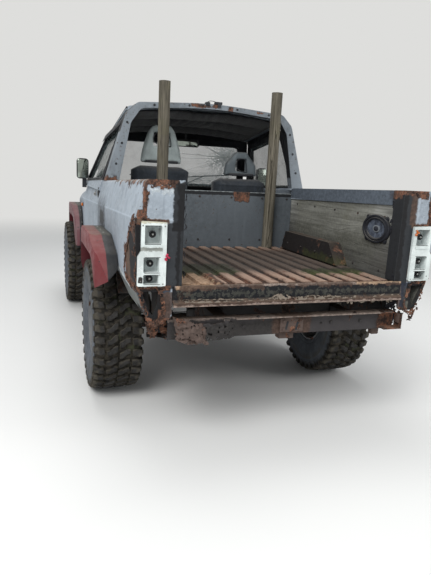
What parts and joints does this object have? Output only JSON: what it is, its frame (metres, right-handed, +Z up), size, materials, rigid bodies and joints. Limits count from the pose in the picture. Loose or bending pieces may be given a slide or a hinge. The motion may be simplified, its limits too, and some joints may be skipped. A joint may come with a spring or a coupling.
{
  "type": "cut-down two-door four-wheel-drive pickup",
  "caption": "Worn short-wheelbase 4x4 with its rear top and tailgate gone, used as an open pickup, with hinged doors and bonnet, steered front wheels and free wheels.",
  "frame": {"origin": "on the ground under the middle of the car", "axes": "+X forward, +Y left, +Z up"},
  "size_m": [4.126, 1.87, 1.9599],
  "materials": {
    "body_paint": "matt blue-grey primer, streaked and rusty",
    "rusty_steel": "flaking paint over rust",
    "black_steel": "dusty black paint",
    "red_paint": "faded red",
    "dark_red_trim": "dull dark red",
    "black_plastic": "weathered",
    "lamp_plastic": "pale grey",
    "grey_plastic": "moulded",
    "seat_cloth": "charcoal cloth",
    "restraint_vinyl": "soft grey vinyl",
    "board": "weathered plywood",
    "post_wood": "weathered round stake",
    "clear_glass": "old, cracked",
    "lamp_glass": "ribbed",
    "tyre_rubber": "muddy",
    "rim_steel": "silver, dirty",
    "cast_metal": "oily"
  },
  "bodies": {
    "body": {"arch_boxes": "black_steel", "bed_floor": "rusty_steel", "bulkhead": "grey_plastic", "bumper_bracket": "rusty_steel", "cab_floor": "black_steel", "chassis_frame": "black_steel", "cowl_panel": "body_paint", "dashboard": "grey_plastic", "engine_and_gearbox": "cast_metal", "exhaust": "rusty_steel", "flares": "red_paint", "front_axle": "cast_metal", "front_bumper": "black_plastic", "front_wings": "body_paint", "fuel_tank": "black_steel", "grille_panel": "black_plastic", "head_restraints": "restraint_vinyl", "headlamps": "lamp_glass", "interior_mirror": "black_plastic", "lamp_housings": "lamp_plastic", "leaf_springs": "rusty_steel", "quarter_panel_left": "body_paint", "quarter_panel_right": "body_paint", "rear_axle": "cast_metal", "rear_crossmember": "rusty_steel", "rear_hoop": "body_paint", "rear_sill": "rusty_steel", "roof_panel": "body_paint", "seat_backs": "seat_cloth", "seat_cushions": "seat_cloth", "side_boards": "board", "sills": "dark_red_trim", "speakers": "black_plastic", "steering_wheel": "black_plastic", "wheel_housings": "black_steel", "windscreen_frame": "body_paint", "windscreen_glass": "clear_glass", "wooden_posts": "post_wood"},
    "wheel_rear_left": {"tyre_rear_left": "tyre_rubber", "rim_rear_left": "rim_steel"},
    "wheel_rear_right": {"tyre_rear_right": "tyre_rubber", "rim_rear_right": "rim_steel"},
    "wheel_front_left": {"tyre_front_left": "tyre_rubber", "rim_front_left": "rim_steel"},
    "wheel_front_right": {"tyre_front_right": "tyre_rubber", "rim_front_right": "rim_steel"},
    "knuckle_left_body": {"knuckle_left": "cast_metal"},
    "door_left_body": {"door_left": "body_paint", "door_glass_left": "clear_glass", "door_mirror_left": "black_plastic"},
    "knuckle_right_body": {"knuckle_right": "cast_metal"},
    "door_right_body": {"door_right": "body_paint", "door_glass_right": "clear_glass", "door_mirror_right": "black_plastic"},
    "bonnet_body": {"bonnet": "body_paint"}
  },
  "joints": [
    {"name": "wheel_rear_left_spin", "type": "hinge", "parent": "body", "child": "wheel_rear_left", "pos_m": [-1.03, 0.78, 0.415], "axis": [0, 1, 0], "continuous": true},
    {"name": "wheel_rear_right_spin", "type": "hinge", "parent": "body", "child": "wheel_rear_right", "pos_m": [-1.03, -0.78, 0.415], "axis": [0, 1, 0], "continuous": true},
    {"name": "wheel_front_left_spin", "type": "hinge", "parent": "knuckle_left_body", "child": "wheel_front_left", "pos_m": [1.305, 0.78, 0.415], "axis": [0, 1, 0], "continuous": true},
    {"name": "wheel_front_right_spin", "type": "hinge", "parent": "knuckle_right_body", "child": "wheel_front_right", "pos_m": [1.305, -0.78, 0.415], "axis": [0, 1, 0], "continuous": true},
    {"name": "steer_left", "type": "hinge", "parent": "body", "child": "knuckle_left_body", "pos_m": [1.305, 0.62, 0.415], "axis": [0, 0, 1], "range_deg": [-30, 30]},
    {"name": "steer_right", "type": "hinge", "parent": "body", "child": "knuckle_right_body", "pos_m": [1.305, -0.62, 0.415], "axis": [0, 0, 1], "range_deg": [-30, 30]},
    {"name": "door_left_hinge", "type": "hinge", "parent": "body", "child": "door_left_body", "pos_m": [0.571, 0.808, 1], "axis": [0, 0, -1], "range_deg": [0, 65]},
    {"name": "door_right_hinge", "type": "hinge", "parent": "body", "child": "door_right_body", "pos_m": [0.571, -0.808, 1], "axis": [0, 0, 1], "range_deg": [0, 65]},
    {"name": "bonnet_hinge", "type": "hinge", "parent": "body", "child": "bonnet_body", "pos_m": [0.706, 0, 1.224], "axis": [0, -1, 0], "range_deg": [0, 55]}
  ],
  "couplings": [
    {"joint": "steer_right", "follows": "steer_left", "ratio": 1}
  ]
}
